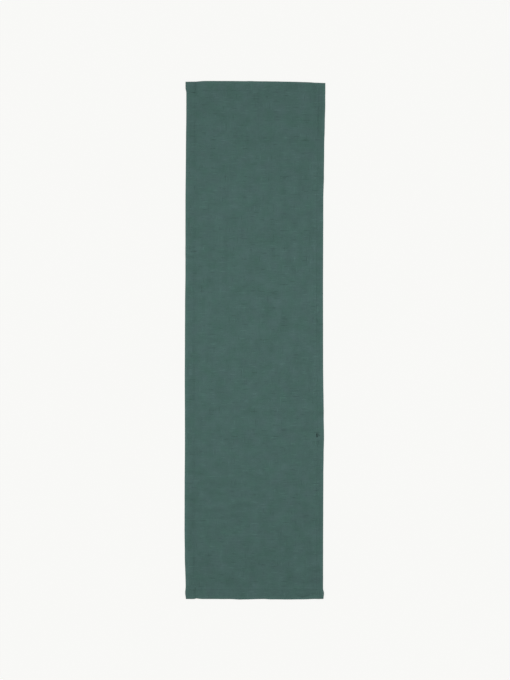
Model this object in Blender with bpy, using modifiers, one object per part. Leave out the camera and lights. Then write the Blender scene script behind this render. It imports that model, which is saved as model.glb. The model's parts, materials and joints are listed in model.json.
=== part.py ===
"""A linen table runner lying flat on a table.

One cut of cloth with double-turned hems, the needle and bobbin threads that sew each hem, and
a blank care label whose sewn edge is caught in the right hem. Metres, +Z up: X runs across the
runner, +Y runs along it to the far end, and the origin is on the table under its middle.
"""

import math

import bpy

# Finished size, outer fold to outer fold
WIDTH = 0.400
LENGTH = 1.500

# Cloth
CLOTH_THICK = 0.00042
PLY_GAP = 0.00006  # air between two plies of a hem

# Hems, outer fold to inner fold
LEFT_HEM = 0.026
RIGHT_HEM = 0.021
END_HEM = 0.030
STEP_RUN = 0.005  # slope from a hem down to the single cloth inside it

# Sewing
THREAD_THICK = 0.0004
STITCH_INSET = 0.002  # from the inner fold out to the row of stitches
THREAD_SETBACK = 0.003  # from the outer fold to a thread's cut end
SEAT_GAP = 0.0003  # between a piece and what it lies on
CROSSING_HALF = 0.0006  # half the flat top of a thread that passes over another
CROSSING_RUN = 0.001  # slope on each side of that flat top

# Care label, sewn flat under the right hem's inner fold
LABEL_REACH = 0.040  # from the fold towards the middle of the runner
LABEL_WIDTH = 0.030  # along the hem
LABEL_THICK = 0.00025
LABEL_FROM_FAR_END = 1.0250
LABEL_MARGIN = 0.001  # room around the label where the cloth passes over it

# Bar tack over the label's sewn edge
TACK_LENGTH = 0.0095
TACK_WIDTH = 0.0022
TACK_LEGS = 11
TACK_INSIDE_SEAM = 0.0017  # from the row of stitches in to the tack's middle

# How finely the folds are faceted
INNER_TURN_STEPS = 3
OUTER_TURN_STEPS = 4
SLOPE_STEPS = 3

PITCH = CLOTH_THICK + PLY_GAP  # one ply and the air under the next
HEM_LIFT = THREAD_THICK + SEAT_GAP  # room under a hem for its bobbin thread
LABEL_LIFT = LABEL_THICK + SEAT_GAP  # room under the cloth for the label
LABEL_FOLD_X = WIDTH / 2 - RIGHT_HEM
LABEL_Y = LENGTH / 2 - LABEL_FROM_FAR_END

LINEN_TEAL = (0.067, 0.127, 0.114)
THREAD_TEAL = (0.060, 0.115, 0.104)
LABEL_WHITE = (0.78, 0.77, 0.73)


def eased(share):
    """A smooth 0 to 1 for a share that may lie outside 0 to 1."""
    share = min(max(share, 0.0), 1.0)
    return share * share * (3 - 2 * share)


def hem_share(distance, half, hem):
    """1 in a hem, 0 in the single cloth and a smooth slope between, at a distance from the middle."""
    return eased((distance - (half - hem - STEP_RUN)) / STEP_RUN)


def side_hem(x):
    """Depth of the side hem on the side of the runner where x is."""
    return LEFT_HEM if x < 0 else RIGHT_HEM


def slab_pitch(x):
    """Thickness of the cloth with its side hems turned, and the air over it."""
    return PITCH * (1 + 2 * hem_share(abs(x), WIDTH / 2, side_hem(x)))


def lift(x, y):
    """Height of the underside: up in the hems, over their bobbin threads, and over the label."""
    hem = max(hem_share(abs(x), WIDTH / 2, side_hem(x)), hem_share(abs(y), LENGTH / 2, END_HEM))
    inward = (x - (LABEL_FOLD_X - LABEL_REACH - LABEL_MARGIN - STEP_RUN)) / STEP_RUN
    along = (LABEL_WIDTH / 2 + LABEL_MARGIN + STEP_RUN - abs(y - LABEL_Y)) / STEP_RUN
    label = min(eased(inward), eased(along))
    return max(HEM_LIFT * hem, LABEL_LIFT * label)


def top_of_cloth(x, y):
    """Height of the top face away from the outer folds."""
    plies = 1 + 2 * hem_share(abs(y), LENGTH / 2, END_HEM)
    return lift(x, y) + slab_pitch(x) * plies - PLY_GAP


def folded(place, share, pitch, height, half, hem):
    """Distance out from the middle and height of one point of a double-turned edge.

    The edge is followed from its raw edge, which is tucked inside the hem, round the inner fold,
    back under, round the outer fold and down the slope to the single cloth. pitch is the
    thickness of what is turned with its air, and height is the point's own height in it.
    """
    outer = half - (3 * pitch - PLY_GAP) / 2
    inner = half - hem + pitch - PLY_GAP / 2
    angle = math.pi * share
    if place == "raw_edge":
        return outer - PLY_GAP, pitch + height
    if place == "inner_turn":
        radius = height + PLY_GAP / 2
        rise = pitch - PLY_GAP / 2 + radius * math.cos(angle)
        return inner - radius * math.sin(angle), rise
    if place == "outer_turn":
        radius = height + (pitch + PLY_GAP) / 2
        rise = (3 * pitch - PLY_GAP) / 2 - radius * math.cos(angle)
        return outer + radius * math.sin(angle), rise
    return half - hem - STEP_RUN * share, 2 * pitch * eased(1 - share) + height


def hem_stations():
    """Places on a turned edge that get a row of corners, from the raw edge inwards."""
    stations = [("raw_edge", 0.0)]
    stations += [("inner_turn", k / INNER_TURN_STEPS) for k in range(INNER_TURN_STEPS + 1)]
    stations += [("outer_turn", k / OUTER_TURN_STEPS) for k in range(OUTER_TURN_STEPS + 1)]
    stations += [("slope", k / SLOPE_STEPS) for k in range(SLOPE_STEPS + 1)]
    return stations


def cloth_stations(panel_places):
    """Stations from one raw edge of the cut cloth to the other, with rows in the single cloth."""
    low = [(-1, place, share) for place, share in hem_stations()]
    high = [(1, place, share) for place, share in reversed(hem_stations())]
    return low + [(0, "panel", place) for place in panel_places] + high


def station_point(station, pitch, height, half, hems):
    """Place along the folded cloth and height of a point at a station."""
    side, place, share = station
    if side == 0:
        return share, height
    out, rise = folded(place, share, pitch, height, half, hems[side])
    return side * out, rise


def around(middle, half):
    """Where the cloth starts to rise, reaches its height, leaves it and is down again."""
    full = half + LABEL_MARGIN
    clear = full + STEP_RUN
    return [middle - clear, middle - full, middle + full, middle + clear]


def plain_material(name, colour):
    """A matt woven or spun finish in one colour."""
    material = bpy.data.materials.new(name)
    material.use_nodes = True
    surface = material.node_tree.nodes["Principled BSDF"]
    surface.inputs["Base Color"].default_value = (*colour, 1)
    surface.inputs["Roughness"].default_value = 0.9
    surface.inputs["Metallic"].default_value = 0.0
    material.diffuse_color = (*colour, 1)
    return material


def finish_part(part, name, material, collection):
    """Names a part, gives it its material and files it with the runner's other parts."""
    part.name = name
    part.data.name = name
    part.data.materials.clear()
    part.data.materials.append(material)
    for old in list(part.users_collection):
        old.objects.unlink(part)
    collection.objects.link(part)


def make_cloth(material, collection):
    """The one cut of linen: a flat slab whose four edges are turned under twice.

    The long edges are turned first and the ends over them, so each corner is nine plies thick.
    """
    label_inner = LABEL_FOLD_X - LABEL_REACH - LABEL_MARGIN
    across = cloth_stations([-WIDTH / 10, label_inner - STEP_RUN, label_inner])
    along = cloth_stations([*around(LABEL_Y, LABEL_WIDTH / 2), LENGTH / 6])
    columns = len(across) - 1
    rows = len(along) - 1
    bpy.ops.mesh.primitive_grid_add(x_subdivisions=columns, y_subdivisions=rows, size=2)
    cloth = bpy.context.object
    thickness = cloth.modifiers.new("Cloth thickness", "SOLIDIFY")
    thickness.thickness = CLOTH_THICK
    thickness.offset = 1
    bpy.ops.object.modifier_apply(modifier=thickness.name)
    side_hems = {-1: LEFT_HEM, 1: RIGHT_HEM}
    end_hems = {-1: END_HEM, 1: END_HEM}
    for corner in cloth.data.vertices:
        column = across[round((corner.co.x + 1) / 2 * columns)]
        row = along[round((corner.co.y + 1) / 2 * rows)]
        x, rise = station_point(column, PITCH, corner.co.z, WIDTH / 2, side_hems)
        y, z = station_point(row, slab_pitch(x), rise, LENGTH / 2, end_hems)
        corner.co = (x, y, z + lift(x, y))
    finish_part(cloth, "linen_cloth", material, collection)


def thread(name, points, material, collection):
    """A sewing thread along its points, cut square at both ends."""
    curve = bpy.data.curves.new(name, "CURVE")
    curve.dimensions = "3D"
    curve.bevel_depth = THREAD_THICK / 2
    curve.bevel_resolution = 2
    curve.use_fill_caps = True
    line = curve.splines.new("POLY")
    line.points.add(len(points) - 1)
    for spot, place in zip(line.points, points):
        spot.co = (*place, 1)
    finish_part(bpy.data.objects.new(name, curve), name, material, collection)


def slope_stops(half, hem):
    """Distances from the middle where a line across a hem changes slope, outermost first."""
    return [half - hem - STEP_RUN * k / SLOPE_STEPS for k in range(SLOPE_STEPS + 1)]


def mirrored(stops_low, stops_high):
    """Distances from the middle on both sides as one rising list of places."""
    return [-stop for stop in stops_low] + list(reversed(stops_high))


def on_top(x, y):
    """Height of the middle of a thread that lies on the cloth."""
    return top_of_cloth(x, y) + SEAT_GAP + THREAD_THICK / 2


def make_side_threads(side, name, hem, material, collection):
    """Needle and bobbin thread of one long hem. The bobbin thread ends where the end hems begin."""
    x = side * (WIDTH / 2 - hem + STITCH_INSET)
    stops = [LENGTH / 2 - THREAD_SETBACK, *slope_stops(LENGTH / 2, END_HEM)]
    top = [(x, y, on_top(x, y)) for y in mirrored(stops, stops)]
    reach = LENGTH / 2 - END_HEM
    under = [(x, y, THREAD_THICK / 2) for y in (-reach, 0.0, reach)]
    thread(f"{name}_hem_needle_thread", top, material, collection)
    thread(f"{name}_hem_bobbin_thread", under, material, collection)


def make_end_threads(side, name, material, collection):
    """Needle and bobbin thread of one end hem. The needle thread passes over the side seams."""
    y = side * (LENGTH / 2 - END_HEM + STITCH_INSET)
    hump = THREAD_THICK + SEAT_GAP
    top = []
    for edge, hem in ((-1, LEFT_HEM), (1, RIGHT_HEM)):
        crossing = WIDTH / 2 - hem + STITCH_INSET
        foot = CROSSING_HALF + CROSSING_RUN
        half = [(WIDTH / 2 - THREAD_SETBACK, 0.0), (crossing + foot, 0.0)]
        half += [(crossing + CROSSING_HALF, hump), (crossing - CROSSING_HALF, hump)]
        half += [(crossing - foot, 0.0)]
        half += [(stop, 0.0) for stop in slope_stops(WIDTH / 2, hem)]
        placed = [(edge * out, y, on_top(edge * out, y) + rise) for out, rise in half]
        top += placed if edge < 0 else reversed(placed)
    reach = WIDTH / 2 - THREAD_SETBACK
    under = [(x, y, THREAD_THICK / 2) for x in (-reach, 0.0, reach)]
    thread(f"{name}_hem_needle_thread", top, material, collection)
    thread(f"{name}_hem_bobbin_thread", under, material, collection)


def make_label(material, collection):
    """The blank care label, flat under the cloth. It swings about the fold it comes out of."""
    bpy.ops.mesh.primitive_cube_add(size=1)
    label = bpy.context.object
    for corner in label.data.vertices:
        corner.co.x = (corner.co.x - 0.5) * LABEL_REACH
        corner.co.y *= LABEL_WIDTH
        corner.co.z *= LABEL_THICK
    label.location = (LABEL_FOLD_X, LABEL_Y, LABEL_THICK / 2)
    finish_part(label, "care_label", material, collection)


def make_tack(material, collection):
    """The bar tack's zigzag across the inner edge of the hem, beside the row of stitches."""
    middle = LABEL_FOLD_X + STITCH_INSET - TACK_INSIDE_SEAM
    height = on_top(middle, LABEL_Y)
    points = []
    for leg in range(TACK_LEGS + 1):
        swing = TACK_WIDTH / 2 if leg % 2 else -TACK_WIDTH / 2
        along = LABEL_Y + TACK_LENGTH * (leg / TACK_LEGS - 0.5)
        points.append((middle + swing, along, height))
    thread("label_bar_tack", points, material, collection)


def main():
    for old in list(bpy.data.objects):
        bpy.data.objects.remove(old)
    collection = bpy.data.collections.new("table_runner")
    bpy.context.scene.collection.children.link(collection)
    linen = plain_material("linen", LINEN_TEAL)
    sewing_thread = plain_material("sewing_thread", THREAD_TEAL)
    label_tape = plain_material("label_tape", LABEL_WHITE)
    make_cloth(linen, collection)
    make_side_threads(-1, "left", LEFT_HEM, sewing_thread, collection)
    make_side_threads(1, "right", RIGHT_HEM, sewing_thread, collection)
    make_end_threads(1, "far", sewing_thread, collection)
    make_end_threads(-1, "near", sewing_thread, collection)
    make_label(label_tape, collection)
    make_tack(sewing_thread, collection)


main()
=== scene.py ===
"""Table runner: the look of the cloth, its hems, its stitching and its care label.

Run as a script. It loads the runner's frame, folds and lays the linen in that frame, sews it with
real rows of lockstitch, adds the care label and its bar tack, and sets the table, light and camera.
"""

import json
import math

import bpy
import numpy as np
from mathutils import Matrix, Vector, noise
from mathutils.bvhtree import BVHTree


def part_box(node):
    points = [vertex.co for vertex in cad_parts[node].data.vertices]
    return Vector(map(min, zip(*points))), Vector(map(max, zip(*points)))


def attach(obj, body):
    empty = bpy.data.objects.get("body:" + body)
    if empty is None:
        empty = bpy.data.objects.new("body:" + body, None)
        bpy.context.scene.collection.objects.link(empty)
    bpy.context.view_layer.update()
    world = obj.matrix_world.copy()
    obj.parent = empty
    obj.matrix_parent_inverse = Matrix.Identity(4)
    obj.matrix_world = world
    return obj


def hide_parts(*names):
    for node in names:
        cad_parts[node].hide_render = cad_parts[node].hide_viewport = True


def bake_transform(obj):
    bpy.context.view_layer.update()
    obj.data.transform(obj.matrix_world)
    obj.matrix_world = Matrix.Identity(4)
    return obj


bl_info = {
    "name": "Linen Table Runner",
    "version": (1, 0, 0),
    "blender": (4, 5, 0),
    "location": "View3D > Sidebar > Runner",
    "description": "Folds, lays, sews and finishes a hemmed linen table runner",
    "category": "Object",
}

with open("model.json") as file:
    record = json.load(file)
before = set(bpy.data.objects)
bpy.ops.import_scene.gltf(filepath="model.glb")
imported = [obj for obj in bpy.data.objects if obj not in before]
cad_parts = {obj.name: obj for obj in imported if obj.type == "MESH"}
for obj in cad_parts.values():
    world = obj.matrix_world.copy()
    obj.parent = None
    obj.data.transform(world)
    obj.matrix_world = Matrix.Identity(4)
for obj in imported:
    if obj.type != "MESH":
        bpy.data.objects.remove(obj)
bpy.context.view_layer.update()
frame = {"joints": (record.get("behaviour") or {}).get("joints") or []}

MM = 0.001
CLOTH_LOW, CLOTH_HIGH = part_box("linen_cloth")
LABEL_LOW, LABEL_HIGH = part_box("care_label")
TACK_LOW, TACK_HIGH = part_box("label_bar_tack")
HALF_WIDTH = (CLOTH_HIGH.x - CLOTH_LOW.x) / 2
HALF_LENGTH = (CLOTH_HIGH.y - CLOTH_LOW.y) / 2
LABEL_FOLD_X = frame["joints"][0]["pos_m"][0]
LABEL_Y = (LABEL_LOW.y + LABEL_HIGH.y) / 2
RIGHT_HEM_DEPTH = HALF_WIDTH - LABEL_FOLD_X
TABLE_HEIGHT = -0.05 * MM  # a hair under the cloth, so that the two never share a plane
LABEL_ROOM = 0.03 * MM  # between the label and the cloth over it
LABEL_THICK = 0.2 * MM
LABEL_COLUMNS, LABEL_ROWS = 44, 30
LABEL_PAST_SEAM = 3 * MM  # how far the label reaches into the hem past its stitches
LABEL_MARGIN, LABEL_RAMP = 5 * MM, 4 * MM  # where the cloth starts to rise beside it, and its run
HEM_MARGIN, HEM_RAMP = 6 * MM, 5 * MM  # the same, in the hem that holds the label
LUMP_INSET = 1.3 * MM  # from the tack's inner edge to the middle of the lump it makes
LUMP_WIDE, LUMP_LONG = 4.5 * MM, 8 * MM
PUCKER_REACH = 9 * MM  # from a row of stitches to where its pucker has faded to about a third
PUCKER_LIFT, RIDGE_LIFT = 0.9, 1.4  # shares of the pucker height: all along a row, and in ridges
RIDGE_SCALE = 70
SIDE_THREAD_INSET, END_THREAD_INSET = 3 * MM, 2.4 * MM  # from a row's ends to the cloth's edge


def seam_place(node, axis):
    """Where the middle of a seam's thread lies across its hem."""
    low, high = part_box(node)
    return (low[axis] + high[axis]) / 2


LEFT_SEAM_X = seam_place("left_hem_needle_thread", 0)
RIGHT_SEAM_X = seam_place("right_hem_needle_thread", 0)
FAR_SEAM_Y = seam_place("far_hem_needle_thread", 1)
NEAR_SEAM_Y = seam_place("near_hem_needle_thread", 1)
STITCH_INSET = RIGHT_SEAM_X - LABEL_FOLD_X
LEFT_HEM_DEPTH = HALF_WIDTH + LEFT_SEAM_X + STITCH_INSET
END_HEM_DEPTH = HALF_LENGTH - FAR_SEAM_Y + STITCH_INSET

# How far each edge strays out from straight, as (distance along, distance out) in millimetres.
# The long edges are followed from the near end, the ends from the left side.
LEFT_EDGE_STRAY = ((0, -1.2), (18, 0.7), (36, -0.5), (130, 1.9), (200, 2.7), (310, 2.4), (470, 1.6),
                   (640, 2.0), (750, 1.6), (850, 1.2), (950, 0.1), (1150, 0.0), (1300, -1.3),
                   (1410, -2.4), (1468, -2.5), (1480, -0.3), (1500, -0.2))
RIGHT_EDGE_STRAY = ((0, -0.4), (18, 1.1), (30, -1.5), (120, -1.4), (240, -1.0), (360, -0.5),
                    (420, 0.2), (470, 1.3), (530, 0.4), (680, -1.3), (900, -1.5), (1080, -1.0),
                    (1160, -0.7), (1225, 1.0), (1310, 1.9), (1380, 3.6), (1435, 4.9), (1500, 5.0))
NEAR_EDGE_STRAY = ((0, -1.2), (22, -1.2), (32, -2.6), (44, -0.9), (120, -0.9), (170, 0.3),
                   (222, -0.9), (290, 0.4), (345, -0.1), (385, -1.4), (400, -1.4))
FAR_EDGE_STRAY = ((0, -1.6), (22, -1.4), (56, 0.9), (120, 0.8), (180, 0.3), (250, -0.4),
                  (300, -1.3), (345, -3.0), (400, -5.2))


class RunnerSettings(bpy.types.PropertyGroup):
    """Sizes and colours of the runner that a user would change."""

    cloth_thick: bpy.props.FloatProperty(
        name="Cloth thickness", description="One ply of linen", default=0.42 * MM,
        unit="LENGTH", precision=5)
    ply_gap: bpy.props.FloatProperty(
        name="Ply gap", description="Air between two plies of a hem", default=0.06 * MM,
        unit="LENGTH", precision=5)
    slope_run: bpy.props.FloatProperty(
        name="Hem slope", description="Run of the step from a hem down to the single cloth",
        default=4.5 * MM, unit="LENGTH", precision=5)
    row_spacing: bpy.props.FloatProperty(
        name="Row spacing", description="Rows of corners along the cloth", default=3.2 * MM,
        unit="LENGTH", precision=5)
    column_spacing: bpy.props.FloatProperty(
        name="Column spacing", description="Columns of corners across the single cloth",
        default=8.0 * MM, unit="LENGTH", precision=5)
    pucker: bpy.props.FloatProperty(
        name="Pucker", description="Height of the puckers along the stitching",
        default=0.32 * MM, unit="LENGTH", precision=5)
    tack_lump: bpy.props.FloatProperty(
        name="Tack lump", description="How far the bar tack's pull lifts the hem",
        default=0.7 * MM, unit="LENGTH", precision=5)
    stitch_length: bpy.props.FloatProperty(
        name="Stitch length", description="From one needle hole to the next",
        default=3.0 * MM, unit="LENGTH", precision=5)
    thread_thick: bpy.props.FloatProperty(
        name="Thread thickness", description="Diameter of the sewing thread",
        default=0.34 * MM, unit="LENGTH", precision=5)
    weave_pitch: bpy.props.FloatProperty(
        name="Weave pitch", description="From one yarn of the linen to the next",
        default=0.62 * MM, unit="LENGTH", precision=5)
    linen_colour: bpy.props.FloatVectorProperty(
        name="Linen", description="Middle colour of the dyed linen", subtype="COLOR",
        default=(0.0690, 0.1355, 0.1220), min=0, max=1)
    thread_colour: bpy.props.FloatVectorProperty(
        name="Thread", description="Sewing thread, matched to the linen", subtype="COLOR",
        default=(0.060, 0.122, 0.110), min=0, max=1)
    tack_colour: bpy.props.FloatVectorProperty(
        name="Tack thread", description="Darker thread of the bar tack", subtype="COLOR",
        default=(0.006, 0.012, 0.011), min=0, max=1)
    label_colour: bpy.props.FloatVectorProperty(
        name="Label", description="Blank woven label tape", subtype="COLOR",
        default=(0.74, 0.73, 0.69), min=0, max=1)
    table_colour: bpy.props.FloatVectorProperty(
        name="Table", description="Plain pale table top", subtype="COLOR",
        default=(0.9387, 0.9387, 0.9216), min=0, max=1)
    table_glow: bpy.props.FloatProperty(
        name="Table glow", description="Light that the table gives off by itself", default=0.897)
    table_matte: bpy.props.FloatProperty(
        name="Table matte", description="Share of the falling light that the table returns",
        default=0.18)
    room_light: bpy.props.FloatProperty(
        name="Room light", description="Strength of the even light from all round", default=0.45)
    side_light: bpy.props.FloatProperty(
        name="Side light", description="Strength of the broad light from the far left",
        default=0.50)
    top_light: bpy.props.FloatProperty(
        name="Top light", description="Power of the soft box over the runner", default=12.5,
        unit="POWER")


# ---------------------------------------------------------------- shape of the folded cloth

RAW_EDGE, INNER_TURN, OUTER_TURN, FACE, SLOPE, PANEL = range(6)
WORN_SHARE = 0.45  # how much of a hem's face is rubbed paler, from its outer fold


def eased(share):
    """A smooth 0 to 1 for a share that may lie outside 0 to 1."""
    share = np.clip(share, 0.0, 1.0)
    return share * share * (3 - 2 * share)


def hem_share(distance, half, hem, run):
    """1 in a hem, 0 in the single cloth and a smooth slope between."""
    return eased((distance - (half - hem - run)) / run)


def side_hem_depth(x):
    return np.where(x < 0, LEFT_HEM_DEPTH, RIGHT_HEM_DEPTH)


class Folds:
    """The runner's double-turned hems, as functions of a place on the cut or folded cloth."""

    def __init__(self, settings):
        self.thick = settings.cloth_thick
        self.gap = settings.ply_gap
        self.pitch = self.thick + self.gap
        self.run = settings.slope_run

    def slab_pitch(self, x):
        """Thickness of the cloth with its side hems turned, and the air over it."""
        side = hem_share(np.abs(x), HALF_WIDTH, side_hem_depth(x), self.run)
        return self.pitch * (1 + 2 * side)

    def end_plies(self, y):
        return 1 + 2 * hem_share(np.abs(y), HALF_LENGTH, END_HEM_DEPTH, self.run)

    def top(self, x, y):
        """Height of the face of the cloth away from the outer folds."""
        return self.slab_pitch(x) * self.end_plies(y) - self.gap

    def ceiling(self, x):
        """Height of the underside of the top ply, under the single cloth and in the right hem."""
        return 2 * self.pitch * hem_share(x, HALF_WIDTH, RIGHT_HEM_DEPTH, self.run)

    def turned(self, place, share, pitch, height, half, hem):
        """Distance out and height of points of an edge turned under twice."""
        outer = half - (3 * pitch - self.gap) / 2
        inner = half - hem + pitch - self.gap / 2
        angle = math.pi * share
        small = height + self.gap / 2
        large = height + (pitch + self.gap) / 2
        out = np.select(
            [place == RAW_EDGE, place == INNER_TURN, place == OUTER_TURN, place == FACE],
            [
                outer - self.gap,
                inner - small * np.sin(angle),
                outer + large * np.sin(angle),
                outer + (half - hem - outer) * share,
            ],
            half - hem - self.run * share,
        )
        rise = np.select(
            [place == RAW_EDGE, place == INNER_TURN, place == OUTER_TURN, place == FACE],
            [
                pitch + height,
                pitch - self.gap / 2 + small * np.cos(angle),
                (3 * pitch - self.gap) / 2 - large * np.cos(angle),
                2 * pitch + height,
            ],
            2 * pitch * eased(1 - share) + height,
        )
        return out, rise

    def stations(self, panel_from, panel_to, spacing):
        """Rows of corners over the cut cloth, from one raw edge to the other, as columns of
        side, place and share. In the single cloth the share is the place itself."""
        edge = [(RAW_EDGE, 0.0)]
        edge += [(INNER_TURN, k / 3) for k in range(4)]
        edge += [(OUTER_TURN, k / 5) for k in range(6)]
        edge += [(FACE, share) for share in (0.12, 0.28, 0.45, 0.6, 0.75, 0.86, 0.93)]
        edge += [(SLOPE, k / 4) for k in range(5)]
        count = round((panel_to - panel_from) / spacing)
        panel = [panel_from + (panel_to - panel_from) * k / count for k in range(1, count)]
        rows = [(-1, place, share) for place, share in edge]
        rows += [(0, PANEL, place) for place in panel]
        rows += [(1, place, share) for place, share in reversed(edge)]
        return np.array(rows, float)

    def place(self, stations, pitch, height, half, low_hem, high_hem):
        """Place along the folded cloth and height of points, one station each."""
        side, place, share = stations[:, 0], stations[:, 1], stations[:, 2]
        hem = np.where(side < 0, low_hem, high_hem)
        out, rise = self.turned(place, share, pitch, height, half, hem)
        flat = side == 0
        return np.where(flat, share, side * out), np.where(flat, height, rise)

    def cut_places(self, stations, half, low_hem, high_hem):
        """Distance of each station from the raw edge, measured along the middle of the cloth."""
        middle = self.thick / 2
        along, rise = self.place(stations, self.pitch, middle, half, low_hem, high_hem)
        steps = np.hypot(np.diff(along), np.diff(rise))
        return np.concatenate([[0.0], np.cumsum(steps)])


# ---------------------------------------------------------------- how the cloth lies


def stray(points, along):
    """Smooth curve through an edge's stray points, in metres, at places along in metres."""
    spots = np.array(points, float) * MM
    index = np.clip(np.searchsorted(spots[:, 0], along) - 1, 0, len(spots) - 2)
    start, end = spots[index], spots[index + 1]
    share = eased((along - start[..., 0]) / (end[..., 0] - start[..., 0]))
    return start[..., 1] + (end[..., 1] - start[..., 1]) * share


def scatter(places, scale, seed):
    """Smooth noise from -1 to 1 at each place."""
    offset = Vector((seed * 17.3, seed * 5.1, seed * 29.7))
    return np.array([noise.noise(Vector(place) * scale + offset) for place in places])


class Lay:
    """Takes places on the straight folded cloth to where they lie on the table."""

    def __init__(self, settings, sheet):
        self.settings = settings
        self.sheet = sheet

    def edge_shift(self, x, y):
        """Sideways shift that gives the outline its slow wander and its uneven corners."""
        left = stray(LEFT_EDGE_STRAY, y + HALF_LENGTH)
        right = stray(RIGHT_EDGE_STRAY, y + HALF_LENGTH)
        near = stray(NEAR_EDGE_STRAY, x + HALF_WIDTH)
        far = stray(FAR_EDGE_STRAY, x + HALF_WIDTH)
        across = np.clip(x / HALF_WIDTH, -1, 1)
        along = np.clip(y / HALF_LENGTH, -1, 1)
        shift_x = right * (1 + across) / 2 - left * (1 - across) / 2
        end_only = np.abs(along) ** 6
        shift_y = np.where(along > 0, far, -near) * end_only
        return shift_x, shift_y

    def label_rise(self, x, y):
        """Height of the cloth over the label under it."""
        half = (LABEL_HIGH.y - LABEL_LOW.y) / 2
        inward = (x - (LABEL_LOW.x - LABEL_MARGIN)) / LABEL_RAMP
        outward = (LABEL_FOLD_X + HEM_MARGIN - x) / HEM_RAMP
        beside = (half + LABEL_MARGIN - np.abs(y - LABEL_Y)) / LABEL_RAMP
        full = LABEL_HIGH.z - LABEL_LOW.z + 2 * LABEL_ROOM
        return full * np.minimum(np.minimum(eased(inward), eased(outward)), eased(beside))

    def tack_rise(self, x, y):
        """The small lump that the tight bar tack pulls the hem into, longer along the hem."""
        beside = (x - TACK_LOW.x - LUMP_INSET) / LUMP_WIDE
        along = (y - LABEL_Y) / LUMP_LONG
        return self.settings.tack_lump * np.exp(-(beside ** 2) - along ** 2)

    def pucker_rise(self, x, y):
        """Small ridges across each row of stitches, fading to both sides of it."""
        flat = np.stack([x, y, np.zeros_like(x)], axis=1)
        by_side = np.minimum(np.abs(x - LEFT_SEAM_X), np.abs(x - RIGHT_SEAM_X))
        by_end = np.minimum(np.abs(y - FAR_SEAM_Y), np.abs(y - NEAR_SEAM_Y))
        near_side = np.exp(-((by_side / PUCKER_REACH) ** 2))
        near_end = np.exp(-((by_end / PUCKER_REACH) ** 2))
        side_ridges = scatter(flat * (0.3, 1, 1), RIDGE_SCALE, 3)
        end_ridges = scatter(flat * (1, 0.3, 1), RIDGE_SCALE, 4)
        ridges = near_side * side_ridges + near_end * end_ridges
        away = PUCKER_LIFT * (1 - near_side) * (1 - near_end)
        return self.settings.pucker * (PUCKER_LIFT + ridges * RIDGE_LIFT - away)

    def settle(self, places):
        """The places as they lie. Plies stay in order, because all at one spot move together."""
        x, y, z = places[:, 0], places[:, 1], places[:, 2]
        shift_x, shift_y = self.edge_shift(x, y)
        rise = sample(self.sheet, x, y) + np.maximum(self.pucker_rise(x, y), 0)
        rise += self.label_rise(x, y) + self.tack_rise(x, y)
        return np.stack([x + shift_x, y + shift_y, z + rise], axis=1)


def sample(sheet, x, y):
    """Height of the laid sheet at places on it, read between the corners of its grid."""
    rows, columns = sheet.shape[0] - 1, sheet.shape[1] - 1
    across = np.clip((x / HALF_WIDTH + 1) / 2, 0, 1) * columns
    along = np.clip((y / HALF_LENGTH + 1) / 2, 0, 1) * rows
    i = np.minimum(along.astype(int), rows - 1)
    j = np.minimum(across.astype(int), columns - 1)
    v = eased(along - i)
    u = eased(across - j)
    low = sheet[i, j] * (1 - u) + sheet[i, j + 1] * u
    high = sheet[i + 1, j] * (1 - u) + sheet[i + 1, j + 1] * u
    return low * (1 - v) + high * v


def laid_sheet():
    """Lays a plain sheet of the runner's size on a table with Blender's cloth.

    Returns the height of each corner of its grid, rows along the runner first.
    """
    rows, columns = 96, 26
    scene = bpy.context.scene
    bpy.ops.object.select_all(action="DESELECT")
    bpy.ops.mesh.primitive_plane_add(size=4)
    table = bpy.context.object
    bpy.ops.object.modifier_add(type="COLLISION")
    table.collision.thickness_outer = 0.5 * MM
    table.collision.cloth_friction = 30
    bpy.ops.mesh.primitive_grid_add(x_subdivisions=columns, y_subdivisions=rows, size=2)
    sheet = bpy.context.object
    grid = np.array([corner.co for corner in sheet.data.vertices])
    start = grid * (HALF_WIDTH, HALF_LENGTH, 1)
    slow = scatter(start * (1, 1.6, 1), 5.5, 1)
    quick_waves = scatter(start, 14, 2)
    lifted = start.copy()
    lifted[:, 2] = 6 * MM + 3 * MM * slow + 1.5 * MM * quick_waves
    sheet.data.vertices.foreach_set("co", lifted.ravel())
    bpy.ops.object.modifier_add(type="CLOTH")
    cloth = sheet.modifiers[-1]
    cloth.settings.quality = 6
    cloth.settings.mass = 0.05
    cloth.settings.air_damping = 4
    cloth.settings.tension_stiffness = 20
    cloth.settings.compression_stiffness = 20
    cloth.settings.shear_stiffness = 8
    cloth.settings.bending_stiffness = 0.6
    cloth.collision_settings.distance_min = 1 * MM
    last = 34
    cloth.point_cache.frame_end = last
    for step in range(1, last + 1):
        scene.frame_set(step)
    evaluated = sheet.evaluated_get(bpy.context.evaluated_depsgraph_get())
    laid = np.array([corner.co for corner in evaluated.data.vertices])
    scene.frame_set(1)
    for helper in (sheet, table):
        bpy.data.meshes.remove(helper.data)
    height = laid[:, 2] - laid[:, 2].min()
    order = np.lexsort((grid[:, 0], grid[:, 1]))
    return height[order].reshape(rows + 1, columns + 1)


# ---------------------------------------------------------------- node tools


def node_group(name, inputs, outputs):
    """An empty shader group with its sockets, and its two end nodes."""
    tree = bpy.data.node_groups.new(name, "ShaderNodeTree")
    for label, kind, default in inputs:
        socket = tree.interface.new_socket(label, in_out="INPUT", socket_type=kind)
        if default is not None:
            socket.default_value = default
    for label, kind in outputs:
        tree.interface.new_socket(label, in_out="OUTPUT", socket_type=kind)
    return tree, tree.nodes.new("NodeGroupInput"), tree.nodes.new("NodeGroupOutput")


def feed(tree, socket, value):
    """Links a socket, or sets a number or a vector, on an input."""
    if isinstance(value, bpy.types.NodeSocket):
        tree.links.new(value, socket)
    else:
        socket.default_value = value


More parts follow.
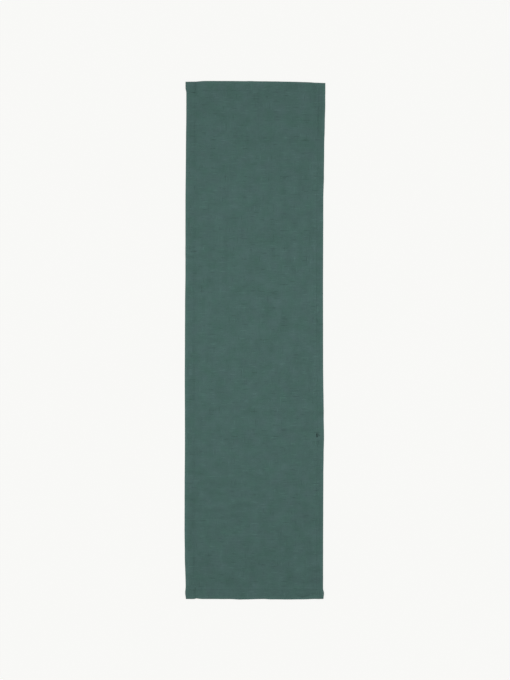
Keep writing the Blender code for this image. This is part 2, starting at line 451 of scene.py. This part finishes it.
def maths(tree, operation, *values, clamp=False):
    node = tree.nodes.new("ShaderNodeMath")
    node.operation = operation
    node.use_clamp = clamp
    for socket, value in zip(node.inputs, values):
        feed(tree, socket, value)
    return node.outputs[0]


def split(tree, vector):
    node = tree.nodes.new("ShaderNodeSeparateXYZ")
    feed(tree, node.inputs[0], vector)
    return node.outputs


def joined(tree, x, y, z):
    node = tree.nodes.new("ShaderNodeCombineXYZ")
    for socket, value in zip(node.inputs, (x, y, z)):
        feed(tree, socket, value)
    return node.outputs[0]


def noise_at(tree, vector, scale, detail=2.0, roughness=0.5):
    node = tree.nodes.new("ShaderNodeTexNoise")
    feed(tree, node.inputs["Vector"], vector)
    node.inputs["Scale"].default_value = scale
    node.inputs["Detail"].default_value = detail
    node.inputs["Roughness"].default_value = roughness
    return node.outputs[0]


def object_place(tree):
    return tree.nodes.new("ShaderNodeTexCoord").outputs["Object"]


def ramp(tree, value, low, high, to_low=0.0, to_high=1.0):
    """A value mapped smoothly from one range to another."""
    node = tree.nodes.new("ShaderNodeMapRange")
    node.interpolation_type = "SMOOTHSTEP"
    for socket, number in zip(node.inputs, (value, low, high, to_low, to_high)):
        feed(tree, socket, number)
    return node.outputs[0]


def mixed(tree, share, first, second, blend="MIX"):
    node = tree.nodes.new("ShaderNodeMix")
    node.data_type = "RGBA"
    node.blend_type = blend
    feed(tree, node.inputs[0], share)
    feed(tree, node.inputs[6], first)
    feed(tree, node.inputs[7], second)
    return node.outputs[2]


def weave_group():
    """Plain weave on flat cloth coordinates in metres.

    Height is 0 in the gaps and 1 on the crowns of the yarns; Warp Up is 1 where the yarn that
    runs along the cloth is on top.
    """
    tree, ins, outs = node_group(
        "Plain weave",
        [("Place", "NodeSocketVector", None), ("Yarns per Metre", "NodeSocketFloat", 1600.0)],
        [("Height", "NodeSocketFloat"), ("Warp Up", "NodeSocketFloat")],
    )
    x, y, _ = split(tree, ins.outputs["Place"])
    wobble = noise_at(tree, ins.outputs["Place"], 160, 1.0)
    wobble = maths(tree, "MULTIPLY", maths(tree, "SUBTRACT", wobble, 0.5), 1.3)
    turns = maths(tree, "MULTIPLY", ins.outputs["Yarns per Metre"], math.pi)
    warp_wave = maths(tree, "SINE", maths(tree, "ADD", maths(tree, "MULTIPLY", x, turns), wobble))
    weft_wave = maths(
        tree, "SINE", maths(tree, "SUBTRACT", maths(tree, "MULTIPLY", y, turns), wobble))
    over = maths(tree, "MULTIPLY_ADD", maths(tree, "MULTIPLY", warp_wave, weft_wave), 0.9, 0.5,
                 clamp=True)
    under = maths(tree, "SUBTRACT", 1.0, over)
    warp = maths(tree, "MULTIPLY", maths(tree, "ABSOLUTE", warp_wave), over)
    weft = maths(tree, "MULTIPLY", maths(tree, "ABSOLUTE", weft_wave), under)
    tree.links.new(maths(tree, "MAXIMUM", warp, weft), outs.inputs["Height"])
    tree.links.new(over, outs.inputs["Warp Up"])
    return tree


def slub_group():
    """Thick and thin stretches of yarns that run along the first axis of Place.

    Each yarn has its own. Slub is 0 in the gaps and on even yarn, up to 1 on a thick pale stretch
    and down to -1 on a thin dark one. Streak is how pale a yarn is over a longer stretch.
    """
    tree, ins, outs = node_group(
        "Yarn slubs",
        [("Place", "NodeSocketVector", None), ("Reach", "NodeSocketFloat", 45.0),
         ("Yarns per Metre", "NodeSocketFloat", 480.0), ("Rarity", "NodeSocketFloat", 0.12)],
        [("Slub", "NodeSocketFloat"), ("Streak", "NodeSocketFloat")],
    )
    x, y, z = split(tree, ins.outputs["Place"])
    along = maths(tree, "MULTIPLY", x, ins.outputs["Reach"])
    across = maths(tree, "MULTIPLY", y, ins.outputs["Yarns per Metre"])
    yarn = maths(tree, "MULTIPLY", maths(tree, "FLOOR", across), 7.31)
    round_yarn = maths(tree, "SINE", maths(tree, "MULTIPLY", across, math.pi))
    round_yarn = maths(tree, "POWER", maths(tree, "ABSOLUTE", round_yarn), 0.6)
    bold = noise_at(tree, joined(tree, along, yarn, z), 1.0, 0.0)
    bold = maths(tree, "SUBTRACT", bold, 0.5)
    rare = ins.outputs["Rarity"]
    full = maths(tree, "ADD", rare, 0.14)
    pale = ramp(tree, bold, rare, full)
    dark = ramp(tree, maths(tree, "MULTIPLY", bold, -1.0), rare, full)
    slub = maths(tree, "MULTIPLY", maths(tree, "SUBTRACT", pale, dark), round_yarn)
    tree.links.new(slub, outs.inputs["Slub"])
    slow = joined(tree, maths(tree, "MULTIPLY", along, 0.2), yarn, maths(tree, "ADD", z, 40.0))
    streak = maths(tree, "MULTIPLY_ADD", noise_at(tree, slow, 1.0, 0.0), 2.0, -1.0)
    tree.links.new(streak, outs.inputs["Streak"])
    return tree


def dye_group():
    """Soft uneven patches from dyeing and washing. Tone and Hue run from -1 to 1."""
    tree, ins, outs = node_group(
        "Uneven dye",
        [("Place", "NodeSocketVector", None), ("Patch Scale", "NodeSocketFloat", 22.0)],
        [("Tone", "NodeSocketFloat"), ("Hue", "NodeSocketFloat")],
    )
    scaled = tree.nodes.new("ShaderNodeVectorMath")
    scaled.operation = "SCALE"
    tree.links.new(ins.outputs["Place"], scaled.inputs[0])
    tree.links.new(ins.outputs["Patch Scale"], scaled.inputs["Scale"])
    tone = noise_at(tree, scaled.outputs[0], 1.0, 4.0, 0.62)
    shifted = tree.nodes.new("ShaderNodeVectorMath")
    shifted.operation = "ADD"
    tree.links.new(scaled.outputs[0], shifted.inputs[0])
    shifted.inputs[1].default_value = (31.0, 7.0, 13.0)
    hue = noise_at(tree, shifted.outputs[0], 1.3, 2.0)
    for name, value in (("Tone", tone), ("Hue", hue)):
        centred = maths(tree, "MULTIPLY", maths(tree, "SUBTRACT", value, 0.5), 2.0)
        tree.links.new(centred, outs.inputs[name])
    return tree


def shared_group(name, build):
    """A node group, built the first time that it is asked for."""
    return bpy.data.node_groups.get(name) or build()


def placed(tree, group, **values):
    """A group node in a tree, with its inputs fed by name, underscores for spaces."""
    node = tree.nodes.new("ShaderNodeGroup")
    node.node_tree = group
    for name, value in values.items():
        feed(tree, node.inputs[name.replace("_", " ")], value)
    return node.outputs


def new_material(name, roughness, sheen=0.0, specular=0.5):
    """A material with a Principled surface whose plain values are set on its own sockets."""
    material = bpy.data.materials.new(name)
    material.use_nodes = True
    tree = material.node_tree
    surface = tree.nodes["Principled BSDF"]
    surface.inputs["Roughness"].default_value = roughness
    surface.inputs["Specular IOR Level"].default_value = specular
    surface.inputs["Sheen Weight"].default_value = sheen
    surface.inputs["Sheen Roughness"].default_value = 0.5
    return material, tree, surface


def bumped(tree, surface, height, distance):
    """Feeds the surface's normal from a height that counts in the given distance."""
    node = tree.nodes.new("ShaderNodeBump")
    node.inputs["Distance"].default_value = distance
    feed(tree, node.inputs["Height"], height)
    tree.links.new(node.outputs[0], surface.inputs["Normal"])


def attribute(tree, name):
    node = tree.nodes.new("ShaderNodeAttribute")
    node.attribute_name = name
    return node


def shaded(tree, colour, value):
    """A colour made lighter or darker by a factor."""
    node = tree.nodes.new("ShaderNodeVectorMath")
    node.operation = "SCALE"
    feed(tree, node.inputs[0], colour)
    feed(tree, node.inputs["Scale"], value)
    return node.outputs[0]


# Slubs of the linen's yarns: whether they run across the runner, how many to a metre along
# themselves and across, how rare, and how strong in tone, in streaks and in height (millimetres).
YARN_SLUBS = (
    (True, 34.0, 806.0, 0.20, 0.38, 0.02, 0.14),
    (True, 60.0, 1613.0, 0.11, 0.11, 0.05, 0.04),
    (False, 34.0, 806.0, 0.22, 0.29, 0.03, 0.11),
)


def linen_material(settings):
    """Piece-dyed, washed plain-weave linen with slubs both ways and rubbed folds, and painted shade
    in the gaps between its yarns.
    """
    material, tree, surface = new_material("dyed_linen", 0.9, sheen=0.12, specular=0.18)
    surface.inputs["Sheen Tint"].default_value = (0.55, 0.80, 0.76, 1)
    flat = tree.nodes.new("ShaderNodeUVMap")
    flat.uv_map = "flat_cloth"
    place = flat.outputs[0]
    x, y, _ = split(tree, place)
    weave = placed(tree, shared_group("Plain weave", weave_group), Place=place,
                   Yarns_per_Metre=1 / settings.weave_pitch)
    dye = placed(tree, shared_group("Uneven dye", dye_group), Place=place)
    worn = attribute(tree, "fold_wear").outputs["Fac"]
    dark = tuple(channel * 0.97 for channel in settings.linen_colour)
    pale = tuple(channel * 1.03 for channel in settings.linen_colour)
    green = (dark[0] * 0.95, dark[1] * 1.015, dark[2] * 0.965, 1)
    grey = (pale[0] * 1.05, pale[1] * 0.985, pale[2] * 1.035, 1)
    hue = maths(tree, "MULTIPLY_ADD", dye["Hue"], 1.0, 0.5, clamp=True)
    colour = mixed(tree, hue, green, grey)
    yarns = maths(tree, "MULTIPLY_ADD", dye["Tone"], 0.17, 1.0)
    yarns = maths(tree, "MULTIPLY_ADD", worn, 0.11, yarns)
    height = maths(tree, "MULTIPLY", weave["Height"], 0.10)
    for number, (along_x, reach, count, rarity, tone, streak, raised) in enumerate(YARN_SLUBS):
        first, second = (x, y) if along_x else (y, x)
        slubs = placed(tree, shared_group("Yarn slubs", slub_group),
                       Place=joined(tree, first, second, 3.0 * number), Reach=reach,
                       Yarns_per_Metre=count, Rarity=rarity)
        yarns = maths(tree, "MULTIPLY_ADD", slubs["Slub"], tone, yarns)
        yarns = maths(tree, "MULTIPLY_ADD", slubs["Streak"], streak, yarns)
        height = maths(tree, "MULTIPLY_ADD", slubs["Slub"], raised, height)
    # Painted shade: the colour is darker in the gaps between the yarns than on their crowns.
    gaps = maths(tree, "MULTIPLY_ADD", weave["Height"], 0.42, 0.72)
    colour = shaded(tree, colour, maths(tree, "MULTIPLY", yarns, gaps))
    tree.links.new(colour, surface.inputs["Base Color"])
    rough = maths(tree, "MULTIPLY_ADD", weave["Height"], -0.08, 0.95)
    tree.links.new(rough, surface.inputs["Roughness"])
    bumped(tree, surface, height, MM)
    return material


TWIST_PITCH = 0.5 * MM  # along the thread, from one groove to the next


def thread_material(name, colour, along_axis):
    """Spun sewing thread: plies that twist round it, seen as slanting grooves, bumped and with
    painted shade in them.
    """
    material, tree, surface = new_material(name, 0.6, sheen=0.02, specular=0.2)
    surface.inputs["Sheen Tint"].default_value = (0.6, 0.8, 0.78, 1)
    place = object_place(tree)
    x, y, z = split(tree, place)
    along, across = (y, x) if along_axis == 1 else (x, y)
    slant = maths(tree, "ADD", along, maths(tree, "MULTIPLY", maths(tree, "ADD", across, z), 1.4))
    twist = maths(tree, "SINE", maths(tree, "MULTIPLY", slant, 2 * math.pi / TWIST_PITCH))
    fuzz = noise_at(tree, place, 2500, 2.0)
    dye = placed(tree, shared_group("Uneven dye", dye_group), Place=place, Patch_Scale=140.0)
    # Painted shade: the colour darkens along the grooves of the twist.
    tone = maths(tree, "MULTIPLY_ADD", twist, 0.16, 0.94)
    tone = maths(tree, "MULTIPLY_ADD", dye["Tone"], 0.14, tone)
    tone = maths(tree, "MULTIPLY_ADD", fuzz, 0.12, tone)
    tree.links.new(shaded(tree, (*colour,), tone), surface.inputs["Base Color"])
    tree.links.new(maths(tree, "MULTIPLY_ADD", fuzz, 0.25, 0.5), surface.inputs["Roughness"])
    bumped(tree, surface, maths(tree, "MULTIPLY_ADD", twist, 0.03, fuzz), MM)
    return material


LABEL_YARNS = 4200.0  # to a metre of the label tape


def label_material(settings):
    """Blank satin-woven label tape with firm selvedges and a slight yellowing, and painted shade in
    the gaps between its yarns.
    """
    material, tree, surface = new_material("label_tape", 0.5, sheen=0.2, specular=0.45)
    place = object_place(tree)
    _, y, _ = split(tree, place)
    weave = placed(tree, shared_group("Plain weave", weave_group), Place=place,
                   Yarns_per_Metre=LABEL_YARNS)
    floats = placed(tree, shared_group("Yarn slubs", slub_group), Place=place, Reach=300.0,
                    Yarns_per_Metre=LABEL_YARNS)
    dye = placed(tree, shared_group("Uneven dye", dye_group), Place=place, Patch_Scale=60.0)
    edge = maths(tree, "ABSOLUTE", maths(tree, "SUBTRACT", y, LABEL_Y))
    half = (LABEL_HIGH.y - LABEL_LOW.y) / 2
    selvedge = ramp(tree, edge, half - 1.6 * MM, half - 0.9 * MM)
    warm = tuple(channel * shade for channel, shade in zip(settings.label_colour, (1, 0.97, 0.9)))
    hue = maths(tree, "MULTIPLY_ADD", dye["Hue"], 0.6, 0.4, clamp=True)
    colour = mixed(tree, hue, (*settings.label_colour, 1), (*warm, 1))
    # Painted shade: the colour is darker in the gaps of the weave than on the yarns' crowns.
    tone = maths(tree, "MULTIPLY_ADD", weave["Height"], 0.16, 0.86)
    tone = maths(tree, "MULTIPLY_ADD", floats["Streak"], 0.05, tone)
    tone = maths(tree, "MULTIPLY_ADD", selvedge, -0.06, tone)
    tree.links.new(shaded(tree, colour, tone), surface.inputs["Base Color"])
    tree.links.new(maths(tree, "MULTIPLY_ADD", selvedge, 0.15, 0.45), surface.inputs["Roughness"])
    height = maths(tree, "MULTIPLY", weave["Height"], 0.03)
    height = maths(tree, "MULTIPLY_ADD", selvedge, 0.05, height)
    bumped(tree, surface, height, MM)
    return material


# ---------------------------------------------------------------- the pieces


WORK = {}  # what one operator makes and another needs


def active_settings():
    return bpy.context.scene.table_runner


def the_lay():
    """The one lay of the cloth, worked out once for the cloth and all that is sewn to it."""
    if "lay" not in WORK:
        WORK["lay"] = Lay(active_settings(), laid_sheet())
    return WORK["lay"]


def finish_piece(piece, name, material, slot, body, *nodes):
    """Names a piece, gives it its material and joins it to the frame."""
    piece.name = name
    piece.data.name = name
    piece.data.materials.clear()
    piece.data.materials.append(material)
    piece.data.shade_smooth()
    WORK["lit_from_top"].objects.link(piece)
    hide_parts(*nodes)
    if body:
        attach(piece, body)


def solid_grid(columns, rows, thick):
    """A flat grid from -1 to 1 both ways, made solid upwards, and the places of its corners."""
    bpy.ops.object.select_all(action="DESELECT")
    bpy.ops.mesh.primitive_grid_add(x_subdivisions=columns, y_subdivisions=rows, size=2)
    piece = bpy.context.object
    thickness = piece.modifiers.new("Thickness", "SOLIDIFY")
    thickness.thickness = thick
    thickness.offset = 1
    bpy.ops.object.modifier_apply(modifier=thickness.name)
    return piece, np.array([corner.co for corner in piece.data.vertices])


class RUNNER_OT_cloth(bpy.types.Operator):
    """Fold the hems of the cut linen and lay it on the table"""

    bl_idname = "runner.cloth"
    bl_label = "Linen cloth"

    def execute(self, context):
        settings = active_settings()
        folds = Folds(settings)
        run = settings.slope_run
        across = folds.stations(-HALF_WIDTH + LEFT_HEM_DEPTH + run,
                                HALF_WIDTH - RIGHT_HEM_DEPTH - run, settings.column_spacing)
        along = folds.stations(-HALF_LENGTH + END_HEM_DEPTH + run,
                               HALF_LENGTH - END_HEM_DEPTH - run, settings.row_spacing)
        columns, rows = len(across) - 1, len(along) - 1
        cloth, grid = solid_grid(columns, rows, settings.cloth_thick)
        column = np.rint((grid[:, 0] + 1) / 2 * columns).astype(int)
        row = np.rint((grid[:, 1] + 1) / 2 * rows).astype(int)
        x, rise = folds.place(across[column], folds.pitch, grid[:, 2], HALF_WIDTH,
                              LEFT_HEM_DEPTH, RIGHT_HEM_DEPTH)
        y, z = folds.place(along[row], folds.slab_pitch(x), rise, HALF_LENGTH,
                           END_HEM_DEPTH, END_HEM_DEPTH)
        settled = the_lay().settle(np.stack([x, y, z], axis=1))
        cloth.data.vertices.foreach_set("co", settled.ravel())
        cut_x = folds.cut_places(across, HALF_WIDTH, LEFT_HEM_DEPTH, RIGHT_HEM_DEPTH)
        cut_y = folds.cut_places(along, HALF_LENGTH, END_HEM_DEPTH, END_HEM_DEPTH)
        self.mark(cloth, cut_x[column], cut_y[row], across[column], along[row])
        finish_piece(cloth, "runner_cloth", linen_material(settings), "linen", "sewn_cloth",
                     "linen_cloth")
        WORK["cloth"] = cloth
        WORK["cloth_face"] = BVHTree.FromObject(cloth, context.evaluated_depsgraph_get())
        WORK["cut"] = (float(cut_x[-1]), float(cut_y[-1]))
        return {"FINISHED"}

    def mark(self, cloth, cut_x, cut_y, across, along):
        """Flat cloth coordinates in metres, and how rubbed each corner of the mesh is."""
        mesh = cloth.data
        flat = mesh.uv_layers.new(name="flat_cloth")
        corners = np.empty(len(mesh.loops), dtype=np.int32)
        mesh.loops.foreach_get("vertex_index", corners)
        flat.data.foreach_set("uv", np.stack([cut_x[corners], cut_y[corners]], axis=1).ravel())
        wear = np.zeros(len(mesh.vertices), dtype=np.float32)
        for stations in (across, along):
            share = stations[:, 2]
            turn = eased(2 * share)
            face = 1 - eased(share / WORN_SHARE)
            wear = np.maximum(wear, np.select([stations[:, 1] == OUTER_TURN,
                                               stations[:, 1] == FACE], [turn, face], 0))
        rubbed = mesh.attributes.new("fold_wear", "FLOAT", "POINT")
        rubbed.data.foreach_set("value", wear.astype(np.float32))


# One stitch: how far along it, and how high the middle of the thread lies on the cloth's face, in
# half thicknesses of the thread. At a hole the thread dips between the plies.
STITCH_SHAPE = ((0.00, None), (0.10, -0.3), (0.24, 0.75), (0.50, 0.95), (0.76, 0.75), (0.90, -0.3))
LOCK_DEPTH = 0.42  # how deep a thread dips at a hole, as a share of the thickness there


def seam_points(start, end, stitch, thick, radius):
    """One thread of a row of lockstitch between two places on the folded cloth.

    Gives flat places, and heights out from the face. At each hole it dips nearly to the middle of
    the plies, where it locks with the thread of the other face.
    """
    start, end = np.array(start, float), np.array(end, float)
    count = round(np.linalg.norm(end - start) / stitch)
    shares, heights = [], []
    for number in range(count):
        for share, height in STITCH_SHAPE:
            shares.append((number + share) / count)
            heights.append(math.nan if height is None else height * radius)
    flat = start + (end - start) * np.array(shares + [1.0])[:, None]
    heights = np.array(heights + [math.nan])
    locked = -LOCK_DEPTH * thick(flat[:, 0], flat[:, 1])
    return flat, np.where(np.isnan(heights), locked, heights)


def on_cloth(flat, heights, side):
    """Flat places on the folded cloth, brought to the laid cloth's face: side 1 on top and -1
    underneath. Heights count out from that face."""
    spots = the_lay().settle(np.column_stack([flat, np.zeros(len(flat))]))
    points = []
    for (x, y, _), height in zip(spots, heights):
        hit = WORK["cloth_face"].ray_cast(Vector((x, y, side)), Vector((0, 0, -side)))[0]
        points.append((x, y, hit.z + side * height))
    return np.array(points)


def tube(name, points, radius, sides_level):
    """A round thread along its points, as a mesh with closed ends."""
    bpy.ops.object.select_all(action="DESELECT")
    curve = bpy.data.curves.new(name, "CURVE")
    curve.dimensions = "3D"
    curve.bevel_depth = radius
    curve.bevel_resolution = sides_level
    curve.use_fill_caps = True
    line = curve.splines.new("POLY")
    line.points.add(len(points) - 1)
    padded = np.column_stack([points, np.ones(len(points))])
    line.points.foreach_set("co", padded.ravel())
    thread = bpy.data.objects.new(name, curve)
    bpy.context.collection.objects.link(thread)
    thread.select_set(True)
    bpy.context.view_layer.objects.active = thread
    bpy.ops.object.convert(target="MESH")
    thread = bpy.context.object
    bpy.ops.object.mode_set(mode="EDIT")
    bpy.ops.mesh.select_all(action="SELECT")
    bpy.ops.mesh.remove_doubles(threshold=0.001 * MM)
    bpy.ops.object.mode_set(mode="OBJECT")
    return thread


class RUNNER_OT_stitching(bpy.types.Operator):
    """Sew the four hems with real rows of lockstitch, a needle and a bobbin thread each"""

    bl_idname = "runner.stitching"
    bl_label = "Hem stitching"

    def execute(self, context):
        settings = active_settings()
        self.folds = Folds(settings)
        self.radius = settings.thread_thick / 2
        self.stitch = settings.stitch_length
        self.materials = [thread_material("thread_across", settings.thread_colour, 0),
                          thread_material("thread_along", settings.thread_colour, 1)]
        inside = HALF_LENGTH - END_HEM_DEPTH
        outside = HALF_LENGTH - SIDE_THREAD_INSET
        reach = HALF_WIDTH - END_THREAD_INSET
        for name, x in (("left", LEFT_SEAM_X), ("right", RIGHT_SEAM_X)):
            self.sew(f"{name}_hem_needle_thread", (x, -outside), (x, outside), 1, 1)
            self.sew(f"{name}_hem_bobbin_thread", (x, -inside), (x, inside), -1, 1)
        for name, y in (("far", FAR_SEAM_Y), ("near", NEAR_SEAM_Y)):
            self.sew(f"{name}_hem_needle_thread", (-reach, y), (reach, y), 1, 0)
            self.sew(f"{name}_hem_bobbin_thread", (-reach, y), (reach, y), -1, 0)
        return {"FINISHED"}

    def sew(self, node, start, end, side, axis):
        flat, heights = seam_points(start, end, self.stitch, self.folds.top, self.radius)
        thread = tube(node, on_cloth(flat, heights, side), self.radius, 1)
        finish_piece(thread, node.replace("_hem_", "_seam_"), self.materials[axis],
                     "sewing_thread", "sewn_cloth", node)
        WORK.setdefault("sewing", []).append(thread)


TACK_LEGS = 34
TACK_SPREAD = 0.5 * MM  # how far the thread lies outside the row of needle holes
TACK_THREAD = 0.9  # its thickness, as a share of the hem thread's
SHOULDER_AT = 0.82  # share of half the tack's width at which a leg lies on the cloth
HOLE_DEPTH, SHOULDER_HEIGHT, CROWN_HEIGHT = -1.5, 0.9, 1.7  # in half thicknesses of the thread
TAIL_STEPS, TAIL_TURNS = 44, 2.2


def tail_points():
    """The tack's loose thread end, a springy curl beside the tack.

    Gives places from the tack's middle in millimetres, and heights in half thicknesses of the
    thread. Each turn lies over the one before it.
    """
    share = np.linspace(0, 1, TAIL_STEPS)
    angle = math.radians(110) - 2 * math.pi * TAIL_TURNS * share
    bend = 1.5 + 0.5 * share
    return np.column_stack([3.5 + 3.2 * share + bend * np.cos(angle),
                            3.2 - 5.4 * share + bend * np.sin(angle),
                            1.2 + 4.8 * share])


class RUNNER_OT_bar_tack(bpy.types.Operator):
    """Sew the short dense bar tack over the label's sewn edge"""

    bl_idname = "runner.bar_tack"
    bl_label = "Bar tack"

    def execute(self, context):
        settings = active_settings()
        radius = settings.thread_thick / 2
        middle = ((TACK_LOW.x + TACK_HIGH.x) / 2, LABEL_Y)
        half_wide = (TACK_HIGH.x - TACK_LOW.x) / 2 + TACK_SPREAD
        half_long = (TACK_HIGH.y - TACK_LOW.y) / 2 + TACK_SPREAD
        step = half_long / TACK_LEGS
        points = []
        for leg in range(TACK_LEGS):
            swing = half_wide * (1 if leg % 2 else -1)
            along = half_long * (2 * leg / TACK_LEGS - 1)
            points += [(swing, along, HOLE_DEPTH),
                       (swing * SHOULDER_AT, along, SHOULDER_HEIGHT),
                       (0, along + step, CROWN_HEIGHT),
                       (-swing * SHOULDER_AT, along + 2 * step, SHOULDER_HEIGHT)]
        points = np.vstack([points, tail_points() * (MM, MM, 1)])
        points = on_cloth(points[:, :2] + middle, points[:, 2] * radius, 1)
        tack = tube("bar_tack", points, radius * TACK_THREAD, 1)
        material = thread_material("tack_thread", settings.tack_colour, 0)
        finish_piece(tack, "label_bar_tack_sewn", material, "sewing_thread", "sewn_cloth",
                     "label_bar_tack")
        WORK.setdefault("sewing", []).append(tack)
        return {"FINISHED"}


class RUNNER_OT_care_label(bpy.types.Operator):
    """Weave the blank care label and catch it under the right hem"""

    bl_idname = "runner.care_label"
    bl_label = "Care label"

    def execute(self, context):
        settings = active_settings()
        caught = STITCH_INSET + LABEL_PAST_SEAM
        low_x, high_x = LABEL_LOW.x, LABEL_HIGH.x + caught
        label, grid = solid_grid(LABEL_COLUMNS, LABEL_ROWS, LABEL_THICK)
        x = low_x + (high_x - low_x) * (grid[:, 0] + 1) / 2
        y = LABEL_Y + (LABEL_HIGH.y - LABEL_LOW.y) / 2 * grid[:, 1]
        z = grid[:, 2] + Folds(settings).ceiling(x) - LABEL_ROOM - LABEL_THICK
        settled = the_lay().settle(np.stack([x, y, z], axis=1))
        label.data.vertices.foreach_set("co", settled.ravel())
        finish_piece(label, "care_label_tape", label_material(settings), "label_tape", None,
                     "care_label")
        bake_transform(label)
        WORK["label"] = label
        WORK["label_cut"] = (LABEL_HIGH.y - LABEL_LOW.y, high_x - low_x)
        return {"FINISHED"}


SIDE_LIGHT_PLACE = (-1.0, 0.6, 1.6)
TOP_LIGHT_PLACE = (-0.05, 0.08, 1.7)
VIEW_HEIGHT = 1.3127  # height of the view, as a multiple of the runner's length
VIEW_MIDDLE = (0.0014, 0.0009)


class RUNNER_OT_stage(bpy.types.Operator):
    """Set the pale table, the soft studio light and the camera straight above"""

    bl_idname = "runner.stage"
    bl_label = "Table, light and camera"

    def execute(self, context):
        settings = active_settings()
        self.table(settings)
        self.lights(settings)
        self.camera(context.scene)
        context.scene.view_settings.view_transform = "Standard"
        return {"FINISHED"}

    def table(self, settings):
        bpy.ops.object.select_all(action="DESELECT")
        bpy.ops.mesh.primitive_plane_add(size=80, location=(0, 0, TABLE_HEIGHT))
        table = bpy.context.object
        table.name = "table_top"
        material, tree, surface = new_material("table_top", 0.85, specular=0.1)
        faint = noise_at(tree, object_place(tree), 3, 3.0)
        tone = maths(tree, "MULTIPLY_ADD", faint, 0.006, 0.997)
        lit = shaded(tree, (*settings.table_colour,), tone)
        colour = shaded(tree, lit, settings.table_matte)
        tree.links.new(colour, surface.inputs["Base Color"])
        tree.links.new(lit, surface.inputs["Emission Color"])
        surface.inputs["Emission Strength"].default_value = settings.table_glow
        table.data.materials.append(material)

    def lights(self, settings):
        world = bpy.data.worlds.new("studio")
        bpy.context.scene.world = world
        world.use_nodes = True
        tree = world.node_tree
        sky = tree.nodes["Background"]
        seen = tree.nodes.new("ShaderNodeLightPath").outputs["Is Camera Ray"]
        far_table = tuple(channel * 0.95 for channel in settings.table_colour)
        even = (settings.room_light,) * 3
        feed(tree, sky.inputs["Color"], mixed(tree, seen, (*even, 1), (*far_table, 1)))
        sky.inputs["Strength"].default_value = 1
        side = bpy.data.lights.new("side_light", "SUN")
        side.energy = settings.side_light
        side.angle = math.radians(30)
        self.aim(side, SIDE_LIGHT_PLACE)
        top = bpy.data.lights.new("top_light", "AREA")
        top.size = 1.0
        top.energy = settings.top_light
        lit = bpy.data.collections.new("lit_from_top")
        self.aim(top, TOP_LIGHT_PLACE).light_linking.receiver_collection = lit
        WORK["lit_from_top"] = lit

    def aim(self, lamp, place):
        """Puts a lamp at a place, turned towards the middle of the runner, and returns it."""
        holder = bpy.data.objects.new(lamp.name, lamp)
        holder.location = place
        holder.rotation_euler = (-Vector(place)).to_track_quat("-Z", "Y").to_euler()
        bpy.context.collection.objects.link(holder)
        return holder

    def camera(self, scene):
        """Straight above, with 1.97 m of table in the height of the view."""
        lens = bpy.data.cameras.new("above")
        lens.lens = 85
        lens.sensor_width = 36
        shown = VIEW_HEIGHT * 2 * HALF_LENGTH
        above = bpy.data.objects.new("above", lens)
        above.location = (*VIEW_MIDDLE, shown * lens.lens / lens.sensor_width)
        scene.collection.objects.link(above)
        scene.camera = above


class RUNNER_OT_declare(bpy.types.Operator):
    """Does nothing more; the cloth and label steps keep their cut sizes in WORK"""

    bl_idname = "runner.declare"
    bl_label = "Cut sizes"

    def execute(self, context):
        return {"FINISHED"}


class RUNNER_PT_panel(bpy.types.Panel):
    """Steps of making the runner"""

    bl_idname = "RUNNER_PT_panel"
    bl_label = "Linen Table Runner"
    bl_space_type = "VIEW_3D"
    bl_region_type = "UI"
    bl_category = "Runner"

    def draw(self, context):
        layout = self.layout
        settings = context.scene.table_runner
        for name in settings.__annotations__:
            layout.prop(settings, name)
        for step in STEPS:
            layout.operator(step.bl_idname)


STEPS = (RUNNER_OT_stage, RUNNER_OT_cloth, RUNNER_OT_stitching, RUNNER_OT_bar_tack,
         RUNNER_OT_care_label, RUNNER_OT_declare)
CLASSES = (RunnerSettings, *STEPS, RUNNER_PT_panel)


def register():
    for entry in CLASSES:
        bpy.utils.register_class(entry)
    bpy.types.Scene.table_runner = bpy.props.PointerProperty(type=RunnerSettings)


def unregister():
    del bpy.types.Scene.table_runner
    for entry in reversed(CLASSES):
        bpy.utils.unregister_class(entry)


def main():
    register()
    bpy.ops.runner.stage()
    bpy.ops.runner.cloth()
    bpy.ops.runner.stitching()
    bpy.ops.runner.bar_tack()
    bpy.ops.runner.care_label()
    bpy.ops.runner.declare()


if __name__ == "__main__":
    main()
